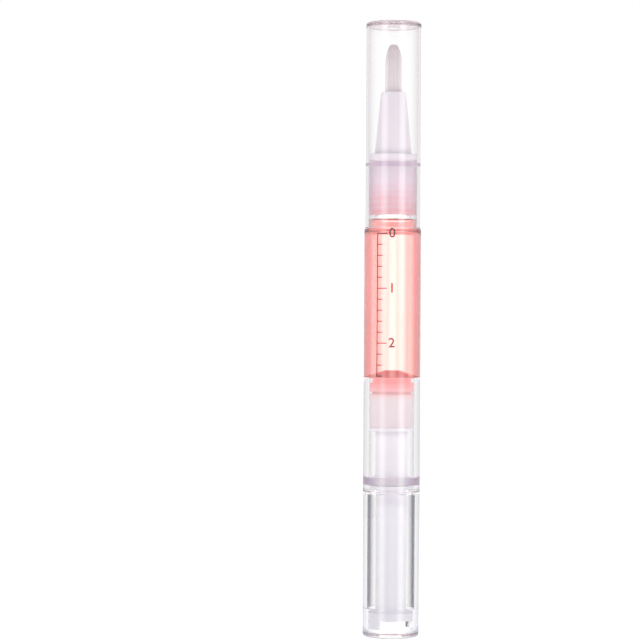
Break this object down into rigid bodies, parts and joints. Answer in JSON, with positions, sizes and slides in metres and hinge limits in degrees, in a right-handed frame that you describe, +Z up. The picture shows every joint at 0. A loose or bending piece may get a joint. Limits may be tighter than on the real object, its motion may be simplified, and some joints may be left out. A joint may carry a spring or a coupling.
{
  "type": "nail oil pen",
  "caption": "Slim clear twist-up nail oil pen: pull-off cap over a brush nozzle, oil-filled barrel with a screw-driven piston, turning knob at the foot.",
  "frame": {"origin": "centre of the knob's flat foot, which the pen stands on", "axes": "+Z up along the pen from the knob to the cap, -Y towards the camera of the picture, +X to its right"},
  "size_m": [0.0129, 0.0128, 0.138],
  "materials": {
    "clear_cap": "polished",
    "clear_barrel": "polished",
    "clear_knob": "polished",
    "nylon": "satin",
    "milky_nozzle": "satin",
    "milky_piston": "satin",
    "milky_drive": "satin",
    "white_drive": "satin",
    "pink_oil": "polished"
  },
  "bodies": {
    "barrel": {"barrel": "clear_barrel", "nozzle": "milky_nozzle", "bristles": "nylon", "bristle_root": "nylon", "feed_tube": "nylon", "oil_column": "pink_oil", "nozzle_oil": "pink_oil", "screw_nut": "milky_drive"},
    "cap": {"cap": "clear_cap"},
    "knob": {"knob": "clear_knob", "drive_tube": "milky_drive", "click_ring": "white_drive"},
    "screw": {"lead_screw": "white_drive"},
    "piston": {"piston": "milky_piston"}
  },
  "joints": [
    {"name": "cap_pull", "type": "slide", "parent": "barrel", "child": "cap", "axis": [0, 0, 1], "range_m": [0, 0.046]},
    {"name": "knob_twist", "type": "hinge", "parent": "barrel", "child": "knob", "pos_m": [0, 0, 0], "axis": [0, 0, 1], "range_deg": [0, 3600], "deforming": ["click_ring"]},
    {"name": "screw_travel", "type": "slide", "parent": "knob", "child": "screw", "axis": [0, 0, 1], "range_m": [0, 0.032]},
    {"name": "piston_travel", "type": "slide", "parent": "barrel", "child": "piston", "axis": [0, 0, 1], "range_m": [0, 0.032], "deforming": ["oil_column"]}
  ],
  "couplings": [
    {"joint": "screw_travel", "follows": "knob_twist", "m_per_rad": 0.00050929},
    {"joint": "piston_travel", "follows": "knob_twist", "m_per_rad": 0.00050929}
  ]
}
